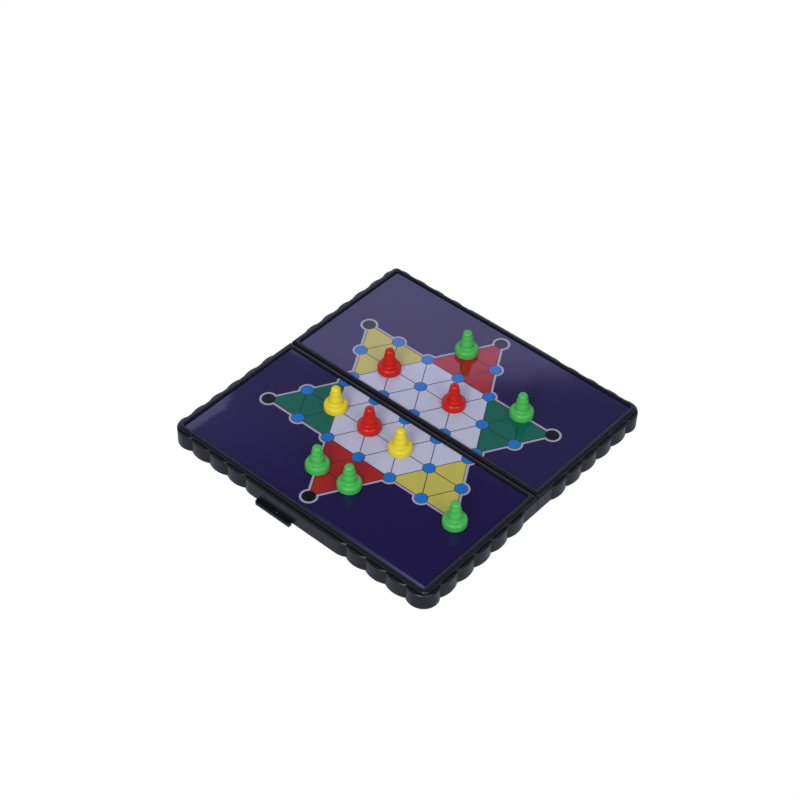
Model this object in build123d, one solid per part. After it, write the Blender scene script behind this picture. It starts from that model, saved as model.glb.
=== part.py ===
from build123d import *
import os
from math import sqrt

# A folding travel board for a six-pointed star game: two equal moulded half shells, hinged
# edge to edge, with the playing faces outside and a tray under each one. Millimetres.
# X runs along the fold, Y across it and Z up. The open board stands on the plane Z = 0.
# Everything of the near half (Y below 0) is built first; the far half is the same moulding
# turned half a turn about Z.

# Half shell, seen from above
board_length = 130.0  # along the fold, over the crowns of the scallops
half_width = 65.9  # from the fold line to the crowns of the front wall
fold_gap = 0.3  # between the two shells when the board is open
scallop_pitch = 9.6
scallop_rise = 1.15  # crown beyond the line of the cusps
wing_scallops = 3  # on each side of the plain pad in the front wall
corner_lobe_front = 9.3  # cusp line's corner to the first cusp, along the front wall
corner_lobe_side = 8.55  # cusp line's corner to the first cusp, along a side wall
corner_crown_front = 4.0  # first cusp to the crown of the corner lobe, along the front wall
corner_crown_side = 3.4  # first cusp to the crown of the corner lobe, along a side wall
pad_end_run = 4.2  # rounded end of the plain pad, along the front wall

# Half shell, seen from the side
rest_gap = 0.8  # lower edge of the walls above the table
wall_height = 7.0  # lower edge to the ledge outside the rim
ledge_drop = 0.77  # ledge below the playing face
rim_rise = 0.85  # rim above the playing face
wall_thickness = 1.5  # at the cusps
ledge_edge_bevel = 0.25  # outer edge of the ledge
fold_wall_thickness = 2.3
deck_thickness = 1.3
tray_corner_radius = 2.0

# Rim round the playing face
rim_inset = 0.3  # outer face of the rim behind the cusps
rim_width_side = 2.7
rim_width_front = 2.0
rim_width_fold = 2.15
rim_front_corner_radius = 2.2
rim_fold_corner_radius = 0.5
rim_outer_round = 1.2
rim_inner_round = 0.7

# Sheets in the recess of the deck
steel_thickness = 0.4
print_thickness = 0.3
sheet_clearance = 0.1  # edge of a sheet to the rim
sheet_corner_radius = 0.5

# Finger lip under one half of the pad; it also overlaps the other shell when the box is shut
lip_length = 18.0
lip_reach = 1.9  # beyond the pad
lip_thickness = 1.5
lip_from_centre = 0.2
lip_root_depth = 0.8  # of the lip inside the wall
lip_overlap_clearance = 0.3  # lower part of the lip to the other shell's pad
lip_corner_radius = 1.2
lip_edge_round = 0.3
grip_nub_radius = 0.5
grip_nub_from_centre = 7.7
grip_nub_from_pad = 0.4
bridge_width = 1.2  # small rib across the ledge in the middle of the pad
bridge_drop = 0.5  # its top below the playing face
bridge_setback = 0.9  # its outer end behind the pad

# Hinge: knuckles of both shells on a wire pin near each end of the fold
closing_gap = 0.1  # between the two lower edges when the box is shut
pin_radius = 0.4
pin_running_clearance = 0.05
pin_end_clearance = 0.2
knuckle_radius = 1.4
knuckle_width = 4.0
knuckle_side_clearance = 0.2
knuckle_pocket_clearance = 0.3
hinge_from_end = 20.0  # end of the board to the middle of a hinge

# Star of dots: a triangular lattice, cut in two along its middle row by the fold
dot_spacing = 15.8
star_from_fold = 2.17  # middle row of each half's star to the fold line

# Playing pawn with a disc magnet in its foot
pawn_height = 11.45
foot_radius = 4.8
foot_height = 3.45
foot_lower_round = 0.3
foot_upper_round = 1.5
waist_radius = 2.8
waist_z = 4.25
lower_ring_radius = 2.8
lower_ring_z = 5.5
lower_groove_radius = 2.28
lower_groove_z = 7.15
upper_ring_radius = 2.26
upper_ring_z = 8.1
upper_groove_radius = 1.9
upper_groove_z = 9.35
head_radius = 1.89
head_z = 9.95
profile_pull_ratio = 0.5  # how far the ends of the turned profile follow their tangents
magnet_radius = 2.5
magnet_thickness = 1.2
magnet_side_clearance = 0.05
magnet_recess = 0.1  # magnet behind the foot's lower face

# Sizes that follow from those above
crown_x = board_length / 2
crown_y = half_width
cusp_x = crown_x - scallop_rise
cusp_y = crown_y - scallop_rise
fold_face_y = fold_gap / 2
first_cusp_x = cusp_x - corner_lobe_front
first_cusp_y = cusp_y - corner_lobe_side
pad_cusp_x = first_cusp_x - wing_scallops * scallop_pitch
ledge_z = rest_gap + wall_height
play_z = ledge_z + ledge_drop
rim_top_z = play_z + rim_rise
recess_z = play_z - print_thickness - steel_thickness
tray_ceiling_z = recess_z - deck_thickness
rim_x = cusp_x - rim_inset
rim_y = cusp_y - rim_inset
recess_x = rim_x - rim_width_side
recess_front_y = rim_y - rim_width_front
recess_fold_y = fold_face_y + rim_width_fold
tray_x = cusp_x - wall_thickness
tray_front_y = cusp_y - wall_thickness
tray_fold_y = fold_face_y + fold_wall_thickness
hinge_axis_z = rest_gap - closing_gap / 2
hinge_x = crown_x - hinge_from_end
knuckle_step = knuckle_width + knuckle_side_clearance
pocket_width = knuckle_width + 2 * knuckle_side_clearance
pin_length = 2 * knuckle_step + knuckle_width - 2 * pin_end_clearance
row_height = dot_spacing * sqrt(3) / 2

# Pawns on the open board: colour, column, row and half. Columns are counted in dot spacings
# from the middle of the board, rows from the middle row of the star. Placed by hand, no pawn
# stands exactly on its dot.
pawn_places = [
    ("green", 3.092, 2.089, "near"),
    ("green", 0.488, 2.985, "near"),
    ("green", -0.498, 3.039, "near"),
    ("green", 1.996, 2.059, "far"),
    ("green", -0.468, 3.034, "far"),
    ("red", -0.456, 0.954, "near"),
    ("red", 0.544, 1.047, "far"),
    ("red", -1.477, 0.915, "far"),
    ("yellow", 0.587, 1.007, "near"),
    ("yellow", -1.545, 0.981, "near"),
]


def block(x_low, x_high, y_low, y_high, z_low, z_high):
    """A box between two corners."""
    size = (x_high - x_low, y_high - y_low, z_high - z_low)
    return Pos(x_low, y_low, z_low) * Box(*size, align=(Align.MIN, Align.MIN, Align.MIN))


def upright_edges(solid, y_limit, beyond):
    """The upright edges of a solid on one side of a Y value."""
    edges = solid.edges().filter_by(Axis.Z)
    if beyond:
        return edges.filter_by(lambda edge: edge.center().Y > y_limit)
    return edges.filter_by(lambda edge: edge.center().Y < y_limit)


def scallop(start, end, outward_x, outward_y, rise):
    """An arc from one cusp to the next, with its crown one rise outward."""
    crown_at_x = (start[0] + end[0]) / 2 + outward_x * rise
    crown_at_y = (start[1] + end[1]) / 2 + outward_y * rise
    return ThreePointArc(start, (crown_at_x, crown_at_y), end)


def wall_outline(inset):
    """The outline of a half shell, everywhere one inset behind its full outline.

    The side walls are straight beside the fold. The outline runs past it, where the shell
    is cut off later.
    """
    half_pitch = scallop_pitch / 2
    arc_radius = (half_pitch**2 + scallop_rise**2) / (2 * scallop_rise) - inset
    rise = arc_radius - sqrt(arc_radius**2 - half_pitch**2)
    outer_x = crown_x - inset
    outer_y = crown_y - inset
    inner_x = outer_x - rise
    inner_y = outer_y - rise

    def front_scallop(x_start):
        """A scallop of the front wall, drawn from its inner cusp."""
        return scallop((x_start, -inner_y), (x_start + scallop_pitch, -inner_y), 0, -1, rise)

    def side_scallop(y_start):
        """A scallop of the right side wall, drawn from its front cusp."""
        return scallop((inner_x, y_start), (inner_x, y_start + scallop_pitch), 1, 0, rise)

    pad_flat_end = (pad_cusp_x - pad_end_run, -outer_y)
    pad_end = TangentArc(pad_flat_end, (pad_cusp_x, -inner_y), tangent=(1, 0))
    right = [Line((0, -outer_y), pad_flat_end), pad_end]
    for i in range(wing_scallops):
        right.append(front_scallop(pad_cusp_x + i * scallop_pitch))
    lobe_x = first_cusp_x + corner_crown_front
    lobe_y = -first_cusp_y - corner_crown_side
    lobe_radii = (outer_x - lobe_x, outer_y + lobe_y)
    right.append(TangentArc((lobe_x, -outer_y), (first_cusp_x, -inner_y), tangent=(-1, 0)))
    right.append(EllipticalCenterArc((lobe_x, lobe_y), *lobe_radii, 270, arc_size=90))
    right.append(TangentArc((outer_x, lobe_y), (inner_x, -first_cusp_y), tangent=(0, 1)))
    side_scallops = int(first_cusp_y / scallop_pitch)
    for i in range(side_scallops):
        right.append(side_scallop(-first_cusp_y + i * scallop_pitch))
    last_cusp_y = -first_cusp_y + side_scallops * scallop_pitch
    right.append(Line((inner_x, last_cusp_y), (inner_x, scallop_pitch)))
    left = [line.mirror(Plane.YZ) for line in right]
    closing = Line((inner_x, scallop_pitch), (-inner_x, scallop_pitch))
    return make_face(Wire(right + left + [closing]))


def knuckles(centres, width, radius):
    """Cylinders on the hinge axis, one round each centre."""
    turned = Rot(0, 90, 0) * Cylinder(radius, width)
    return [Pos(x, 0, hinge_axis_z) * turned for x in centres]


def finger_lip():
    """The lip with its grip nub, to the left of the pad's middle."""
    outer_y = -crown_y - lip_reach
    overlap_y = -crown_y - lip_overlap_clearance
    left_x = -lip_from_centre - lip_length
    lip = block(left_x, -lip_from_centre, outer_y, -crown_y + lip_root_depth, 0, lip_thickness)
    lip = fillet(upright_edges(lip, overlap_y, False).sort_by(Axis.X)[0], lip_corner_radius)
    outer_top = lip.edges().filter_by(Axis.X).filter_by(lambda edge: edge.center().Y < overlap_y)
    lip = fillet(outer_top.sort_by(Axis.Z)[-1], lip_edge_round)
    lip -= block(left_x, -lip_from_centre, overlap_y, 0, 0, rest_gap)
    nub_y = -crown_y - grip_nub_from_pad
    return lip + Pos(-grip_nub_from_centre, nub_y, lip_thickness) * Sphere(grip_nub_radius)


def half_shell():
    """The near shell: scalloped walls, deck with a rimmed recess, lip and knuckles."""
    shell = extrude(Pos(0, 0, rest_gap) * wall_outline(0), wall_height - ledge_edge_bevel)
    bevel_foot = Pos(0, 0, ledge_z - ledge_edge_bevel) * wall_outline(0)
    shell += loft([bevel_foot, Pos(0, 0, ledge_z) * wall_outline(ledge_edge_bevel)], ruled=True)
    shell -= block(-board_length, board_length, -fold_face_y, half_width, 0, 2 * ledge_z)

    rim = block(-rim_x, rim_x, -rim_y, -fold_face_y, tray_ceiling_z, rim_top_z)
    rim = fillet(upright_edges(rim, -half_width / 2, False), rim_front_corner_radius)
    rim = fillet(upright_edges(rim, -half_width / 2, True), rim_fold_corner_radius)
    rim = fillet(rim.faces().sort_by(Axis.Z)[-1].edges(), rim_outer_round)
    shell += rim

    recess = block(-recess_x, recess_x, -recess_front_y, -recess_fold_y, recess_z, rim_top_z + 1)
    shell -= fillet(recess.edges().filter_by(Axis.Z), sheet_corner_radius)
    crest = shell.faces().sort_by(Axis.Z)[-1]
    shell = fillet(crest.inner_wires().edges(), rim_inner_round)

    tray = block(-tray_x, tray_x, -tray_front_y, -tray_fold_y, 0, tray_ceiling_z)
    shell -= fillet(tray.edges().filter_by(Axis.Z), tray_corner_radius)

    bridge_y = -crown_y + bridge_setback
    bridge_z = play_z - bridge_drop
    shell += block(0, bridge_width, bridge_y, -rim_y + rim_outer_round, tray_ceiling_z, bridge_z)
    shell += finger_lip()

    own = [-hinge_x - knuckle_step, -hinge_x + knuckle_step, hinge_x]
    others = [-hinge_x, hinge_x - knuckle_step, hinge_x + knuckle_step]
    shell -= knuckles(others, pocket_width, knuckle_radius + knuckle_pocket_clearance)
    shell += knuckles(own, knuckle_width, knuckle_radius)
    shell -= block(-hinge_x * 2, hinge_x * 2, -half_width / 2, half_width / 2, -knuckle_radius, 0)
    shell -= knuckles([-hinge_x], 3 * knuckle_step, pin_radius)
    shell -= knuckles([hinge_x], pocket_width, pin_radius + pin_running_clearance)
    return shell


def sheet(thickness, z_low):
    """A thin sheet that fills the near recess."""
    x = recess_x - sheet_clearance
    front_y = -recess_front_y + sheet_clearance
    fold_y = -recess_fold_y - sheet_clearance
    plate = block(-x, x, front_y, fold_y, z_low, z_low + thickness)
    return fillet(plate.edges().filter_by(Axis.Z), sheet_corner_radius)


def pawn():
    """A pawn standing on Z = 0, with a round pocket for the magnet in its foot."""
    bottom_radius = foot_radius - foot_lower_round
    shoulder_z = foot_height - foot_upper_round
    top_radius = foot_radius - foot_upper_round
    lower_centre = (bottom_radius, foot_lower_round)
    upper_centre = (top_radius, shoulder_z)
    stem = [
        (top_radius, foot_height),
        (waist_radius, waist_z),
        (lower_ring_radius, lower_ring_z),
        (lower_groove_radius, lower_groove_z),
        (upper_ring_radius, upper_ring_z),
        (upper_groove_radius, upper_groove_z),
        (head_radius, head_z),
    ]
    dome_height = pawn_height - head_z
    head_shoulder = (head_radius * sqrt(0.5), head_z + dome_height * sqrt(0.5))
    head = [(head_radius, head_z), head_shoulder, (0, pawn_height)]
    pull = [profile_pull_ratio, profile_pull_ratio]
    lines = [
        Line((0, 0), (bottom_radius, 0)),
        CenterArc(lower_centre, foot_lower_round, 270, 90),
        Line((foot_radius, foot_lower_round), (foot_radius, shoulder_z)),
        CenterArc(upper_centre, foot_upper_round, 0, 90),
        Spline(*stem, tangents=[(-1, 0), (0, 1)], tangent_scalars=pull),
        Spline(*head, tangents=[(0, 1), (-1, 0)], tangent_scalars=pull),
        Line((0, pawn_height), (0, 0)),
    ]
    body = revolve(Plane.XZ * make_face(Wire(lines)), Axis.Z)
    pocket_radius = magnet_radius + magnet_side_clearance
    pocket_depth = magnet_recess + magnet_thickness
    return body - Cylinder(pocket_radius, 2 * pocket_depth)


def magnet():
    """The disc magnet in the foot of a pawn standing on Z = 0."""
    return Pos(0, 0, magnet_recess + magnet_thickness / 2) * Cylinder(magnet_radius, magnet_thickness)


def pawn_position(column, row, half):
    """Where a pawn stands on the open board."""
    distance = star_from_fold + row * row_height
    return Pos(column * dot_spacing, distance if half == "far" else -distance, play_z)


def hinge_pin():
    """The pin in the left pair of knuckles."""
    return Pos(-hinge_x, 0, hinge_axis_z) * Rot(0, 90, 0) * Cylinder(pin_radius, pin_length)


# Build every piece in its place on the open board
near_pieces = {
    "shell": half_shell(),
    "steel_plate": sheet(steel_thickness, recess_z),
    "board_print": sheet(print_thickness, recess_z + steel_thickness),
}
nodes = {f"near_{name}": shape for name, shape in near_pieces.items()}
for name, shape in near_pieces.items():
    nodes[f"far_{name}"] = Rot(0, 0, 180) * shape
nodes["hinge_pin_left"] = hinge_pin()
nodes["hinge_pin_right"] = Rot(0, 0, 180) * hinge_pin()
pawn_count = {}
for colour, column, row, half in pawn_places:
    pawn_count[colour] = pawn_count.get(colour, 0) + 1
    name = f"{colour}_{pawn_count[colour]}"
    nodes[f"pawn_{name}"] = pawn_position(column, row, half) * pawn()
    nodes[f"magnet_{name}"] = pawn_position(column, row, half) * magnet()

os.makedirs("parts", exist_ok=True)
for name, shape in nodes.items():
    shape.label = name
    export_step(shape, f"parts/{name}.step")
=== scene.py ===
"""Dresses the folding star board: printed faces, shells, pawns, camera and studio light."""

from __future__ import annotations

import logging
import math
from dataclasses import dataclass, field
from enum import Enum

import bpy
from mathutils import Matrix, Vector

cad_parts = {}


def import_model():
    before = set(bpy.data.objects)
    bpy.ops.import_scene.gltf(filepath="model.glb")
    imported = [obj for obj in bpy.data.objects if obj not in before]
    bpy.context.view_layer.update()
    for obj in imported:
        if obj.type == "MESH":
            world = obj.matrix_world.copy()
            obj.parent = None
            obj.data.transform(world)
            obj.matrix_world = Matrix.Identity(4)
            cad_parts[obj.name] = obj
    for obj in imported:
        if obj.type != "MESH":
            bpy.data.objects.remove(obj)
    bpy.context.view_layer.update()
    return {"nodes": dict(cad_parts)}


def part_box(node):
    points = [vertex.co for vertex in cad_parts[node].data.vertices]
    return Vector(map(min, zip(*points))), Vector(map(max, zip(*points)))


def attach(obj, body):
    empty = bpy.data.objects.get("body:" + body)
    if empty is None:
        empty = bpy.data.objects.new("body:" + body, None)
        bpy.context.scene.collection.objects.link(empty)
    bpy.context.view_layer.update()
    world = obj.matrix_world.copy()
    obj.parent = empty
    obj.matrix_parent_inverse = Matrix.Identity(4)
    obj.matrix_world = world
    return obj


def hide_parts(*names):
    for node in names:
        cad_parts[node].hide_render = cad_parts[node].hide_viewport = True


LOG = logging.getLogger("star_board")
MM = 0.001
ROOT_3 = math.sqrt(3)
DOT_SPACING = 15.8 * MM
WHITE = (1.0, 1.0, 1.0, 1.0)

Colour = tuple[float, float, float, float]
Point = tuple[float, float, float]
Ring = tuple[float, float]


def linear(red: int, green: int, blue: int) -> Colour:
    """Turn a colour as seen on screen into the linear colour that shaders use.

    Args:
        red: Red from 0 to 255.
        green: Green from 0 to 255.
        blue: Blue from 0 to 255.

    Returns:
        The linear colour, with an alpha of 1.
    """

    def one(level: int) -> float:
        """One level from 0 to 255 on the linear scale."""
        share = level / 255
        return share / 12.92 if share <= 0.04045 else ((share + 0.055) / 1.055) ** 2.4

    return one(red), one(green), one(blue), 1.0


def darker(colour: Colour, share: float) -> Colour:
    """The same colour with its light cut to a share."""
    return tuple(share * level for level in colour[:3]) + (1.0,)


class Half(Enum):
    """The two halves of the board. The value is the sign of Y on that half."""

    NEAR = -1
    FAR = 1

    @property
    def prefix(self) -> str:
        """The first word of this half's node names."""
        return self.name.lower()


class Channel:
    """A shader socket that takes part in Python expressions and adds Math nodes as it goes."""

    def __init__(self, bench: Bench, socket: bpy.types.NodeSocket) -> None:
        """Keep the socket and the bench that adds nodes to its material."""
        self.bench = bench
        self.socket = socket

    def math(self, operation: str, *others: Channel | float, clamp: bool = False) -> Channel:
        """Feed this channel and others to a Math node.

        Args:
            operation: The Math node's operation.
            others: Further operands, as channels or plain numbers.
            clamp: Whether the result is kept from 0 to 1.

        Returns:
            The node's result.
        """
        values = dict(enumerate((self, *others)))
        settings = {"operation": operation, "use_clamp": clamp}
        return self.bench.node("ShaderNodeMath", settings, values)[0]

    def __add__(self, other: Channel | float) -> Channel:
        """Sum."""
        return self.math("ADD", other)

    __radd__ = __add__

    def __mul__(self, other: Channel | float) -> Channel:
        """Product."""
        return self.math("MULTIPLY", other)

    __rmul__ = __mul__

    def __sub__(self, other: Channel | float) -> Channel:
        """Difference."""
        return self.math("SUBTRACT", other)

    def __rsub__(self, other: float) -> Channel:
        """Difference from a number."""
        return self * -1 + other

    def __truediv__(self, other: Channel | float) -> Channel:
        """Quotient."""
        return self.math("DIVIDE", other)

    def __abs__(self) -> Channel:
        """Distance from zero."""
        return self.math("ABSOLUTE")

    def least(self, other: Channel | float) -> Channel:
        """The lesser of two values."""
        return self.math("MINIMUM", other)

    def most(self, other: Channel | float) -> Channel:
        """The greater of two values."""
        return self.math("MAXIMUM", other)

    def nearest_whole(self) -> Channel:
        """The nearest whole number."""
        return self.math("ROUND")

    def length_with(self, other: Channel) -> Channel:
        """The length of the vector that this and another value make."""
        return (self * self + other * other).math("SQRT")

    def below(self, limit: float, softness: float) -> Channel:
        """A mask that is 1 where the value is below a limit, with a soft edge.

        Args:
            limit: The value at the middle of the edge.
            softness: The width of the edge, in the value's own unit.

        Returns:
            The mask, from 0 to 1.
        """
        return (limit - self).math("MULTIPLY_ADD", 1 / softness, 0.5, clamp=True)

    def above(self, limit: float, softness: float) -> Channel:
        """A mask that is 1 where the value is above a limit, with a soft edge."""
        return (self - limit).math("MULTIPLY_ADD", 1 / softness, 0.5, clamp=True)


class Bench:
    """A material or a world being wired up, with one method that adds every node."""

    def __init__(self, tree: bpy.types.NodeTree) -> None:
        """Start with an empty node tree."""
        self.tree = tree
        tree.nodes.clear()

    @classmethod
    def for_material(cls, name: str) -> tuple[bpy.types.Material, Bench]:
        """Make a material and its bench."""
        material = bpy.data.materials.new(name)
        material.use_nodes = True
        return material, cls(material.node_tree)

    def node(
        self, kind: str, settings: dict | None = None, values: dict | None = None
    ) -> list[Channel]:
        """Add one node.

        Args:
            kind: The node's type, such as ShaderNodeMath.
            settings: The node's own properties.
            values: Socket number or name, with a plain value or a channel to link.

        Returns:
            The node's outputs, in order.
        """
        made = self.tree.nodes.new(kind)
        for name, setting in (settings or {}).items():
            setattr(made, name, setting)
        for key, value in (values or {}).items():
            if isinstance(value, Channel):
                self.tree.links.new(value.socket, made.inputs[key])
            else:
                made.inputs[key].default_value = value
        return [Channel(self, socket) for socket in made.outputs]

    def place(
        self, turn: float = 0.0, scale: float = 1.0, shift: Point = (0.0, 0.0, 0.0)
    ) -> Channel:
        """The place on the piece, turned about Z, scaled and then shifted.

        Args:
            turn: Turn about Z in radians.
            scale: Factor on all three axes.
            shift: What is added at the end.

        Returns:
            The place as a vector.
        """
        spot = self.node("ShaderNodeTexCoord")[3]
        size = (scale, scale, scale)
        values = {"Vector": spot, "Location": shift, "Rotation": (0, 0, turn), "Scale": size}
        return self.node("ShaderNodeMapping", {"vector_type": "POINT"}, values)[0]

    def rays(self) -> tuple[Channel, Channel, Channel]:
        """Whether a ray is from the camera, glossy, and transmitted."""
        path = self.node("ShaderNodeLightPath")
        return path[0], path[3], path[6]

    def parts(self, vector: Channel) -> list[Channel]:
        """The X, Y and Z of a vector."""
        return self.node("ShaderNodeSeparateXYZ", None, {0: vector})

    def noise(self, vector: Channel, scale: float, detail: float = 2.0) -> Channel:
        """Soft random values from 0 to 1."""
        values = {"Vector": vector, "Scale": scale, "Detail": detail}
        return self.node("ShaderNodeTexNoise", None, values)[0]

    def blend(
        self, mask: Channel | float, first: Channel | Colour, second: Channel | Colour
    ) -> Channel:
        """The first colour where the mask is 0 and the second where it is 1."""
        values = {0: mask, 6: first, 7: second}
        return self.node("ShaderNodeMix", {"data_type": "RGBA"}, values)[2]

    def bump(self, height: Channel, strength: float, distance: float) -> Channel:
        """A normal from a height in units of the distance."""
        values = {"Strength": strength, "Distance": distance, "Height": height}
        return self.node("ShaderNodeBump", None, values)[0]

    def surface(self, **sockets: Channel | float | Colour) -> None:
        """End the material in one Principled shader.

        Args:
            sockets: What each socket is given, by its name with _ for each space.
        """
        values = {name.replace("_", " "): value for name, value in sockets.items()}
        shader = self.node("ShaderNodeBsdfPrincipled", None, values)[0]
        self.node("ShaderNodeOutputMaterial", None, {"Surface": shader})


@dataclass(frozen=True)
class MouldedPlastic:
    """Dark plastic of the shells, with the fine grain of a spark-eroded mould."""

    name: str = "shell_black_plastic"
    colour: Colour = linear(17, 18, 24)
    cloud_shade: float = 0.86
    roughness: float = 0.3
    cloud_roughness: float = 0.08
    grain_roughness: float = 0.06
    specular: float = 0.35
    clouds_per_metre: float = 38.0
    grains_per_metre: float = 2600.0
    grain_depth: float = 0.06 * MM
    grain_strength: float = 0.22

    def build(self) -> bpy.types.Material:
        """Make the material."""
        material, bench = Bench.for_material(self.name)
        spot = bench.place()
        grain = bench.noise(spot, self.grains_per_metre, 3.0)
        cloud = bench.noise(spot, self.clouds_per_metre, 3.0)
        smoothest = self.roughness - (self.cloud_roughness + self.grain_roughness) / 2
        bench.surface(
            Base_Color=bench.blend(cloud, darker(self.colour, self.cloud_shade), self.colour),
            Roughness=cloud * self.cloud_roughness + grain * self.grain_roughness + smoothest,
            Specular_IOR_Level=self.specular,
            Normal=bench.bump(grain, self.grain_strength, self.grain_depth),
        )
        return material


@dataclass(frozen=True)
class PawnPlastic:
    """Bright gloss plastic of a pawn, with faint clouds of pigment."""

    name: str
    colour: Colour
    cloud_shade: float = 0.9
    roughness: float = 0.35
    cloud_roughness: float = 0.08
    specular: float = 0.35
    clouds_per_metre: float = 420.0
    dimples_per_metre: float = 900.0
    dimple_depth: float = 0.1 * MM
    dimple_strength: float = 0.12

    def build(self) -> bpy.types.Material:
        """Make the material."""
        material, bench = Bench.for_material(self.name)
        spot = bench.place()
        cloud = bench.noise(spot, self.clouds_per_metre)
        dimples = bench.noise(spot, self.dimples_per_metre)
        smoothest = self.roughness - self.cloud_roughness / 2
        bench.surface(
            Base_Color=bench.blend(cloud, darker(self.colour, self.cloud_shade), self.colour),
            Roughness=cloud * self.cloud_roughness + smoothest,
            Specular_IOR_Level=self.specular,
            Normal=bench.bump(dimples, self.dimple_strength, self.dimple_depth),
        )
        return material


@dataclass(frozen=True)
class PlainSteel:
    """Rolled steel or nickel plate, with fine drawn lines along X."""

    name: str
    colour: Colour = linear(176, 176, 180)
    line_shade: float = 0.8
    roughness: float = 0.35
    line_roughness: float = 0.2
    lines_per_metre: Point = (9000.0, 260.0, 260.0)

    def build(self) -> bpy.types.Material:
        """Make the material."""
        material, bench = Bench.for_material(self.name)
        values = {"Vector": bench.place(), "Scale": self.lines_per_metre}
        drawn = bench.node("ShaderNodeMapping", None, values)[0]
        lines = bench.noise(drawn, 1.0, 3.0)
        bench.surface(
            Base_Color=bench.blend(lines, darker(self.colour, self.line_shade), self.colour),
            Metallic=1.0,
            Roughness=lines * self.line_roughness + (self.roughness - self.line_roughness / 2),
        )
        return material


@dataclass(frozen=True)
class StarPrint:
    """The printed sheet of one half: half of a six-pointed star of dots on deep blue.

    Lengths on the star are counted in dot spacings. The middle row of the star is a little
    way beyond the fold, so that each half shows half of that row's dots. The painted
    highlight on the front edge and the way that the sheet lies are in metres.
    """

    half: Half
    spacing: float = DOT_SPACING
    fold_shift: float = 2.17 * MM / DOT_SPACING

    # Widths on the star. Dots lie on the lattice as far out as dot_reach beyond its edge.
    edge: float = 0.009
    line: float = 0.011
    band: float = 0.054
    overlap: float = 0.015
    dot: float = 0.168
    dot_ink: float = 0.016
    dot_reach: float = 0.3
    tip_dot: float = 0.176

    ground: Colour = linear(25, 14, 70)
    paper: Colour = linear(182, 184, 212)
    band_colour: Colour = linear(158, 157, 186)
    ink: Colour = linear(35, 35, 44)
    blue: Colour = linear(24, 108, 195)
    black: Colour = linear(4, 4, 5)
    top_colour: Colour = linear(157, 31, 31)
    right_colour: Colour = linear(4, 94, 80)
    left_colour: Colour = linear(182, 174, 85)

    # Painted highlight: the front edge is painted pale on its right, more so the further right it
    # is, in place of light that the sheet's edge reflects.
    edge_highlight_colour: Colour = linear(111, 108, 153)
    edge_highlight_from: float = -61.3 * MM
    edge_highlight_soft: float = 0.9 * MM
    edge_highlight_reach: float = 55.0 * MM
    edge_highlight_least: float = 0.08
    edge_highlight_gain: float = 0.62

    # The gloss film is nearly smooth, and the sheet under it isn't quite flat.
    roughness: float = 0.035
    cloud_roughness: float = 0.02
    specular: float = 0.35
    clouds_per_metre: float = 55.0
    cloud_depth: float = 0.022 * MM
    grains_per_metre: float = 1500.0
    grain_depth: float = 0.004 * MM
    lean: float = 0.0
    lean_turn: float = 0.0
    corner: tuple[float, float] = (-50.0 * MM, -34.0 * MM)
    corner_soft: float = 20.0 * MM
    curl: float = 0.0
    hem: float = 8.0 * MM
    fold_curl: float = 0.0

    def lattice(self, u: Channel, v: Channel) -> tuple[Channel, Channel]:
        """Distances to the lattice that carries the dots.

        Args:
            u: Place along the fold.
            v: Place away from the middle row.

        Returns:
            The distance to the nearest lattice point, and to the nearest lattice line.
        """
        row_height = ROOT_3 / 2
        row = (v / row_height).nearest_whole()
        odd = abs(row.math("MODULO", 2.0)) * 0.5
        across = u - odd
        across = across - across.nearest_whole()
        up = v - row * row_height
        lines = abs(up)
        for slant in (u * ROOT_3 + v, u * ROOT_3 - v):
            steps = slant * 0.5 / row_height
            lines = lines.least(abs(steps - steps.nearest_whole()) * row_height)
        return across.length_with(up), lines

    def outline(self, u: Channel, v: Channel) -> tuple[Channel, Channel, Channel]:
        """Distances to the star's large shapes.

        Args:
            u: Place along the fold.
            v: Place away from the middle row.

        Returns:
            The distance out of the star, the distance out of its middle hexagon, and the
            distance to the nearest of its tips.
        """
        side = abs(u)
        upright = (side * ROOT_3 + v) * 0.5 - ROOT_3
        hanging = (v - ROOT_3).most((side * ROOT_3 - v) * 0.5 - ROOT_3)
        side_tip = (side - 3.0).length_with(v - ROOT_3)
        top_tip = u.length_with(v - 2 * ROOT_3)
        return upright.least(hanging), upright.most(hanging), side_tip.least(top_tip)

    def printed(self, bench: Bench, u: Channel, v: Channel) -> Channel:
        """The print's colours, laid on one after the other.

        Args:
            bench: The material's bench.
            u: Place along the fold.
            v: Place away from the middle row.

        Returns:
            The colour.
        """
        soft = self.edge
        star, hexagon, tip = self.outline(u, v)
        point, line = self.lattice(u, v)
        on_star = star.below(self.dot_reach, 0.02)
        colour = bench.blend(u.above(0.0, soft), self.left_colour, self.right_colour)
        colour = bench.blend(v.above(ROOT_3, soft), colour, self.top_colour)
        colour = bench.blend(hexagon.below(0.0, soft), colour, self.paper)
        drawn = line.below(self.line, soft) * star.below(self.line / 2, soft)
        colour = bench.blend(drawn, colour, self.ink)
        ring = point.below(self.dot + self.band, soft) * on_star
        ring = ring.most(tip.below(self.tip_dot + self.band, soft))
        band = ring.most(star.below(self.overlap + self.band, soft))
        back = bench.blend(band, self.ground, self.band_colour)
        colour = bench.blend(star.below(self.overlap, soft), back, colour)
        colour = bench.blend(point.below(self.dot, soft) * on_star, colour, self.ink)
        inner = point.below(self.dot - self.dot_ink, soft) * on_star
        colour = bench.blend(inner, colour, self.blue)
        return bench.blend(tip.below(self.tip_dot, soft), colour, self.black)

    def painted_edge_highlight(self, x: Channel, y: Channel) -> Channel:
        """Where the painted highlight lies along the front edge, from 0 to 1."""
        along = (x / self.edge_highlight_reach).most(0.0)
        highlight_share = (along * along * self.edge_highlight_gain + self.edge_highlight_least) * x.above(0.0, 10.0 * MM)
        return y.below(self.edge_highlight_from, self.edge_highlight_soft) * highlight_share

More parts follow.
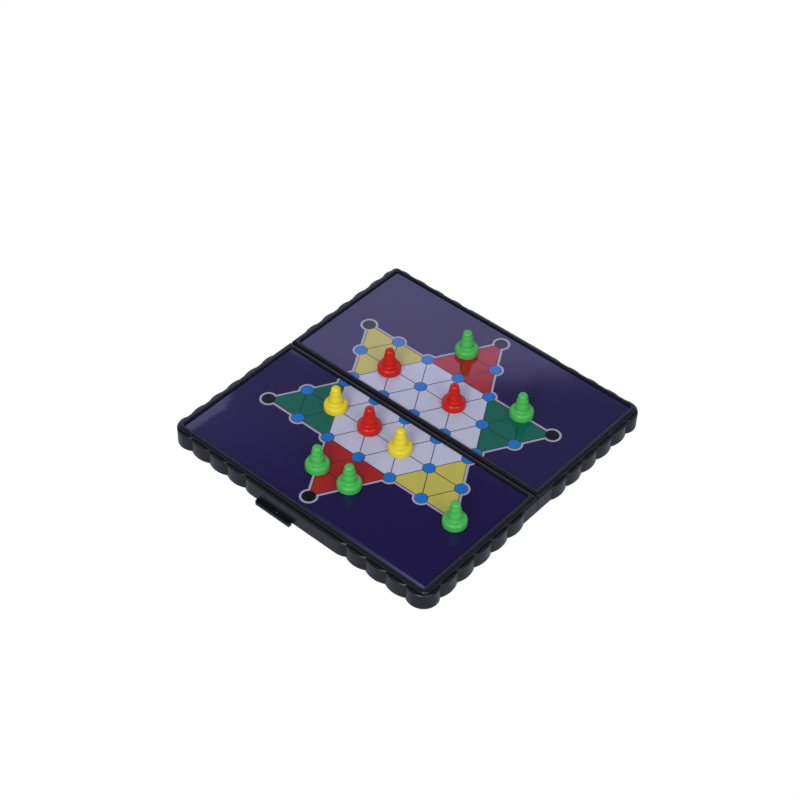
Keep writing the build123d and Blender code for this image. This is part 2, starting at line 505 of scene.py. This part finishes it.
    def lie(self, x: Channel, y: Channel) -> Channel:
        """The height of the sheet, which leans a little and curls at a corner and the fold.

        Args:
            x: Place along the fold, in metres.
            y: Place across the fold, in metres.

        Returns:
            The height in metres.
        """
        slope_x = self.lean * math.sin(self.lean_turn)
        slope_y = -self.lean * math.cos(self.lean_turn)
        loose = (self.corner[0] - x).most(0.0)
        corner = y.below(self.corner[1], self.corner_soft)
        hem = (y + self.hem).most(0.0)
        height = y * slope_y + x * slope_x - loose * loose * corner * self.curl
        return height - hem * hem * self.fold_curl

    def build(self) -> bpy.types.Material:
        """Make the material."""
        material, bench = Bench.for_material(f"star_print_{self.half.prefix}")
        turn = 0.0 if self.half is Half.FAR else math.pi
        place = bench.place(turn, 1 / self.spacing, (0.0, -self.fold_shift, 0.0))
        u, v, _ = bench.parts(place)
        colour = self.printed(bench, u, v)
        spot = bench.place()
        x, y, _ = bench.parts(spot)
        cloud = bench.noise(spot, self.clouds_per_metre, 3.0)
        grain = bench.noise(spot, self.grains_per_metre)
        if self.half is Half.NEAR:
            # Painted highlight: a pale line along the front edge, put into the base colour in
            # place of reflected light.
            colour = bench.blend(self.painted_edge_highlight(x, y), colour, self.edge_highlight_colour)
        height = cloud * self.cloud_depth + grain * self.grain_depth + self.lie(x, y)
        bench.surface(
            Base_Color=colour,
            Roughness=cloud * self.cloud_roughness + self.roughness,
            Specular_IOR_Level=self.specular,
            Normal=bench.bump(height, 1.0, 1.0),
        )
        return material


def paint(piece: bpy.types.Object, finish: bpy.types.Material) -> None:
    """Put one finish on all of a piece."""
    piece.data.materials.clear()
    piece.data.materials.append(finish)


def deselect_all() -> None:
    """Leave object mode with nothing selected."""
    if bpy.context.object and bpy.context.object.mode != "OBJECT":
        bpy.ops.object.mode_set(mode="OBJECT")
    bpy.ops.object.select_all(action="DESELECT")


@dataclass
class BoardHalf:
    """One half of the board: shell, steel sheet, print and hinge pin."""

    print_sheet: StarPrint
    shell_finish: bpy.types.Material
    steel_finish: bpy.types.Material
    pin_node: str
    pieces: list[str] = field(default_factory=list)

    def dress(self, nodes: dict[str, bpy.types.Object]) -> None:
        """Give each CAD node of this half its finish.

        Args:
            nodes: The CAD nodes by name.
        """
        prefix = self.print_sheet.half.prefix
        finishes = {
            f"{prefix}_shell": self.shell_finish,
            f"{prefix}_steel_plate": self.steel_finish,
            f"{prefix}_board_print": self.print_sheet.build(),
            self.pin_node: self.steel_finish,
        }
        for name, finish in finishes.items():
            paint(nodes[name], finish)
            self.pieces.append(name)


@dataclass
class PawnMould:
    """The lathe shape of a pawn, in millimetres from the middle of its foot."""

    foot_radius: float = 4.8
    foot_height: float = 3.45
    lower_round: float = 0.3
    upper_round: float = 1.5
    pocket_radius: float = 2.55
    pocket_depth: float = 1.3
    height: float = 11.45
    crown_radius: float = 0.02
    segments: int = 72
    smooth_angle: float = 35.0
    stem: tuple[Ring, ...] = (
        (3.3, 3.45),
        (2.8, 4.25),
        (2.8, 5.5),
        (2.28, 7.15),
        (2.26, 8.1),
        (1.9, 9.35),
        (1.89, 9.95),
    )
    stem_start_slope: Ring = (-0.9, 0.0)
    stem_end_slope: Ring = (0.0, 0.7)

    @staticmethod
    def quarter(centre: Ring, radii: Ring, start: float, steps: int) -> list[Ring]:
        """Rings on a quarter of an ellipse.

        Args:
            centre: Radius and height of the ellipse's centre.
            radii: The ellipse's radii, outwards and upwards.
            start: Where the quarter starts, in degrees up from straight outwards.
            steps: Steps from its first ring to its last.

        Returns:
            Radius and height of each ring.
        """
        turns = [math.radians(start + 90 / steps * i) for i in range(steps + 1)]
        (x, z), (wide, high) = centre, radii
        return [(x + wide * math.cos(turn), z + high * math.sin(turn)) for turn in turns]

    def rings(self) -> list[Ring]:
        """The radius and height of each ring, from the pocket's ceiling up to the crown.

        Returns:
            Radius and height of each ring.
        """
        rings = [(self.pocket_radius, self.pocket_depth), (self.pocket_radius, 0.0)]
        low, high = self.lower_round, self.upper_round
        rings += self.quarter((self.foot_radius - low, low), (low, low), -90, 6)
        shoulder = (self.foot_radius - high, self.foot_height - high)
        rings += self.quarter(shoulder, (high, high), 0, 8)
        rings += self.stem_rings()[1:]
        neck_radius, neck_height = self.stem[-1]
        crown = (neck_radius, self.height - neck_height)
        for radius, height in self.quarter((0.0, neck_height), crown, 0, 8)[1:]:
            rings.append((max(radius, self.crown_radius), height))
        return rings

    def stem_rings(self, steps: int = 5) -> list[Ring]:
        """Points on a smooth line through the stem's waists, rings and grooves.

        Args:
            steps: Rings from one named point to the next.

        Returns:
            Radius and height of each ring.
        """
        points = [Vector(p) for p in self.stem]
        last = len(points) - 1
        slopes = [(points[min(i + 1, last)] - points[max(i - 1, 0)]) / 2 for i in range(last + 1)]
        slopes[0] = Vector(self.stem_start_slope)
        slopes[-1] = Vector(self.stem_end_slope)
        rings = []
        for i in range(last):
            for step in range(steps):
                t = step / steps
                spot = points[i] * (2 * t**3 - 3 * t**2 + 1) + slopes[i] * (t**3 - 2 * t**2 + t)
                spot += points[i + 1] * (3 * t**2 - 2 * t**3) + slopes[i + 1] * (t**3 - t**2)
                rings.append((spot.x, spot.y))
        rings.append(tuple(points[-1]))
        return rings

    def turn_out(self) -> bpy.types.Object:
        """Turn one pawn at the origin, ring by ring from a filled circle.

        Returns:
            The pawn.
        """
        deselect_all()
        rings = self.rings()
        radius, height = rings[0]
        bpy.ops.mesh.primitive_circle_add(
            vertices=self.segments,
            radius=radius * MM,
            fill_type="TRIFAN",
            location=(0, 0, height * MM),
        )
        bpy.ops.object.transform_apply(location=True, rotation=True, scale=True)
        bpy.ops.object.mode_set(mode="EDIT")
        bpy.ops.mesh.select_mode(type="EDGE")
        bpy.ops.mesh.select_all(action="DESELECT")
        bpy.ops.mesh.select_non_manifold()
        for last, ring in zip(rings, rings[1:]):
            rise = (ring[1] - last[1]) * MM
            bpy.ops.mesh.extrude_edges_move(TRANSFORM_OT_translate={"value": (0, 0, rise)})
            ratio = ring[0] / last[0]
            bpy.ops.transform.resize(value=(ratio, ratio, 1), center_override=(0, 0, 0))
        bpy.ops.mesh.merge(type="CENTER")
        bpy.ops.mesh.select_all(action="SELECT")
        bpy.ops.mesh.remove_doubles(threshold=1e-7)
        bpy.ops.mesh.normals_make_consistent(inside=False)
        bpy.ops.object.mode_set(mode="OBJECT")
        bpy.ops.object.shade_smooth_by_angle(angle=math.radians(self.smooth_angle))
        return bpy.context.object


@dataclass
class PawnSet:
    """All the pawns on the board, one colour to each finish."""

    mould: PawnMould
    magnet_finish: bpy.types.Material
    green: Colour = linear(68, 173, 80)
    red: Colour = linear(187, 19, 6)
    yellow: Colour = linear(218, 199, 43)

    def copy_of(self, pattern: bpy.types.Object, node: str) -> bpy.types.Object:
        """Stand a copy of the pattern where a CAD pawn stands.

        Args:
            pattern: The pawn at the origin.
            node: The CAD pawn's name.

        Returns:
            The copy, with its place in its mesh.
        """
        low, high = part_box(node)
        deselect_all()
        pattern.select_set(True)
        bpy.context.view_layer.objects.active = pattern
        bpy.ops.object.duplicate()
        pawn = bpy.context.object
        pawn.name = f"turned_{node}"
        pawn.data.name = pawn.name
        pawn.location = ((low.x + high.x) / 2, (low.y + high.y) / 2, low.z)
        bpy.ops.object.transform_apply(location=True, rotation=True, scale=True)
        return pawn

    def stand(self, nodes: dict[str, bpy.types.Object]) -> list[str]:
        """Put a turned pawn in the place of each CAD pawn.

        Args:
            nodes: The CAD nodes by name.

        Returns:
            The names of the pieces made.
        """
        finishes = {
            name: PawnPlastic(f"pawn_{name}_plastic", colour).build()
            for name, colour in (("green", self.green), ("red", self.red), ("yellow", self.yellow))
        }
        pattern = self.mould.turn_out()
        made = []
        for node in sorted(name for name in nodes if name.startswith("pawn_")):
            pawn = self.copy_of(pattern, node)
            colour = node.split("_")[1]
            paint(pawn, finishes[colour])
            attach(pawn, node)
            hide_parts(node)
            paint(nodes[node.replace("pawn_", "magnet_")], self.magnet_finish)
            paint(nodes[node], finishes[colour])
            made.append(pawn.name)
        bpy.data.objects.remove(pattern, do_unlink=True)
        return made


@dataclass(frozen=True)
class Room:
    """The room around the board, which differs by the kind of ray that meets it.

    An even dome, a little dimmer overhead, lights the board. Gloss sees a dim room in its
    place, with a pale wall low behind the board and a faint haze above the wall's edge.
    Camera and transmitted rays see plain white. Heights and sides are parts of a direction
    of length 1.
    """

    dome_level: float = 0.5
    dome_low: float = 1.3
    dome_fall: float = 0.6
    room_level: float = 0.18

    # The wall's upper edge is tilted to one side. It ends softly at its foot and its sides.
    wall_level: float = 1.63
    wall_tint: Colour = (1.0, 0.93, 1.52, 1.0)
    wall_tint_gain: float = 4.0
    wall_edge: float = 0.59
    wall_edge_soft: float = 0.006
    wall_tilt: float = 0.139
    wall_foot: float = 0.34
    wall_foot_soft: float = 0.1
    wall_way: tuple[float, float] = (0.64, 0.77)
    wall_side: float = 0.2
    wall_side_soft: float = 0.3

    # The haze fades out upwards and is thicker to the left of haze_side.
    haze_level: float = 0.13
    haze_end: float = 0.692
    haze_width: float = 0.055
    haze_share: float = 0.09
    haze_side: float = -0.5
    haze_side_soft: float = 0.06

    def glossed(self, across: Channel, along: Channel, up: Channel) -> Channel:
        """How much of the wall's brightness gloss sees in a direction.

        Args:
            across: X of the direction.
            along: Y of the direction.
            up: Z of the direction.

        Returns:
            The share, from 0 to 1.
        """
        climb = up + across * self.wall_tilt
        wall = climb.below(self.wall_edge, self.wall_edge_soft)
        haze = (self.haze_end - climb).math("DIVIDE", self.haze_width, clamp=True)
        left = across.below(self.haze_side, self.haze_side_soft)
        veil = haze * haze * (self.haze_level + left * self.haze_share)
        way_x, way_y = self.wall_way
        behind = (along * way_y - across * way_x).above(self.wall_side, self.wall_side_soft)
        return wall.most(veil) * (behind * up.above(self.wall_foot, self.wall_foot_soft))

    def build(self) -> None:
        """Make the world."""
        world = bpy.data.worlds.new("studio")
        world.use_nodes = True
        bpy.context.scene.world = world
        bench = Bench(world.node_tree)
        camera, glossy, through = bench.rays()
        across, along, up = bench.parts(bench.node("ShaderNodeTexCoord")[0])
        share = self.glossed(across, along, up)
        glow = share * (self.wall_level - self.room_level) + self.room_level
        dome = self.dome_level * (self.dome_low - up.most(0.0) * self.dome_fall)
        seen = camera.most(through)
        lit = dome * (1 - glossy) + glow * glossy
        strength = lit * (1 - seen) + seen
        tinted = (share * self.wall_tint_gain).least(1.0) * glossy * (1 - seen)
        tint = bench.blend(tinted, WHITE, self.wall_tint)
        light = bench.node("ShaderNodeBackground", None, {"Color": tint, "Strength": strength})[0]
        bench.node("ShaderNodeOutputWorld", None, {"Surface": light})


@dataclass(frozen=True)
class Floor:
    """The pale floor, which glows white to the camera and keeps a faint shadow."""

    size: float = 6.0
    matt_colour: Colour = (0.9, 0.9, 0.9, 1.0)
    gloss_colour: Colour = (0.46, 0.48, 0.58, 1.0)
    glow_level: float = 1.02
    glow_share: float = 0.96

    def build(self) -> None:
        """Lay the floor."""
        deselect_all()
        bpy.ops.mesh.primitive_plane_add(size=self.size, location=(0, 0, 0))
        floor = bpy.context.object
        floor.name = "studio_floor"
        material, bench = Bench.for_material("pale_floor")
        camera, glossy, through = bench.rays()
        shade = bench.blend(glossy, WHITE, self.gloss_colour)
        matt = bench.node("ShaderNodeBsdfDiffuse", None, {"Color": self.matt_colour})[0]
        values = {"Color": shade, "Strength": self.glow_level}
        glow = bench.node("ShaderNodeEmission", None, values)[0]
        mask = camera.most(glossy).most(through) * self.glow_share
        mixed = bench.node("ShaderNodeMixShader", None, {0: mask, 1: matt, 2: glow})[0]
        bench.node("ShaderNodeOutputMaterial", None, {"Surface": mixed})
        paint(floor, material)


@dataclass(frozen=True)
class Lamp:
    """A square soft lamp that faces the origin, in metres and watts."""

    name: str
    place: Point
    size: float
    power: float

    def build(self) -> None:
        """Hang the lamp."""
        data = bpy.data.lights.new(self.name, "AREA")
        data.size = self.size
        data.energy = self.power
        lamp = bpy.data.objects.new(self.name, data)
        lamp.location = self.place
        lamp.rotation_euler = (-Vector(self.place)).to_track_quat("-Z", "Y").to_euler()
        bpy.context.scene.collection.objects.link(lamp)


@dataclass
class Studio:
    """Camera, room, pale floor and soft lamps. Angles are in degrees."""

    look_at: Point = (-0.561 * DOT_SPACING, 0.293 * DOT_SPACING, 8.57 * MM)
    azimuth: float = 40.14
    elevation: float = 43.99
    distance: float = 45.205 * DOT_SPACING
    roll: float = 1.582
    focal_pixels: float = 1820.4
    image_pixels: float = 800.0
    sensor_width: float = 36.0
    clip: tuple[float, float] = (0.01, 50.0)
    room: Room = Room()
    floor: Floor = Floor()
    key: Lamp = Lamp("key", (0.50, -1.51, 1.03), 0.75, 19.1)
    fill: Lamp = Lamp("fill", (1.49, -0.57, 1.03), 0.9, 9.8)

    def camera(self) -> None:
        """Set the camera at its fitted place."""
        a, e, r = (math.radians(d) for d in (self.azimuth, self.elevation, self.roll))
        back = Vector((math.sin(a) * math.cos(e), -math.cos(a) * math.cos(e), math.sin(e)))
        level = (-back).cross(Vector((0, 0, 1))).normalized()
        upward = level.cross(-back)
        right = level * math.cos(r) + upward * math.sin(r)
        top = upward * math.cos(r) - level * math.sin(r)
        data = bpy.data.cameras.new("camera")
        data.sensor_width = self.sensor_width
        data.lens = self.sensor_width * self.focal_pixels / self.image_pixels
        data.clip_start, data.clip_end = self.clip
        camera = bpy.data.objects.new("camera", data)
        bpy.context.scene.collection.objects.link(camera)
        place = Matrix((right, top, back)).transposed().to_4x4()
        place.translation = Vector(self.look_at) + back * self.distance
        camera.matrix_world = place
        bpy.context.scene.camera = camera

    def build(self) -> None:
        """Set up all of the studio."""
        self.camera()
        self.room.build()
        self.floor.build()
        self.key.build()
        self.fill.build()
        bpy.context.scene.view_settings.view_transform = "Standard"


def main() -> None:
    """Load the frame, dress it and set up the studio."""
    logging.basicConfig(level=logging.INFO, format="%(name)s: %(message)s")
    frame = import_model()
    nodes = frame["nodes"]
    shell = MouldedPlastic().build()
    steel = PlainSteel("sheet_steel").build()
    nickel = PlainSteel("magnet_nickel", colour=linear(188, 186, 180), roughness=0.28).build()
    near_sheet = StarPrint(Half.NEAR, curl=2.1, fold_curl=1.3)
    far_sheet = StarPrint(Half.FAR, lean=0.021, lean_turn=math.radians(40))
    for sheet, pin in ((near_sheet, "hinge_pin_left"), (far_sheet, "hinge_pin_right")):
        board_half = BoardHalf(sheet, shell, steel, pin)
        board_half.dress(nodes)
        for piece in board_half.pieces:
            LOG.info("dressed %s", piece)
    for piece in PawnSet(PawnMould(), nickel).stand(nodes):
        LOG.info("made %s", piece)
    Studio().build()


if __name__ == "__main__":
    main()
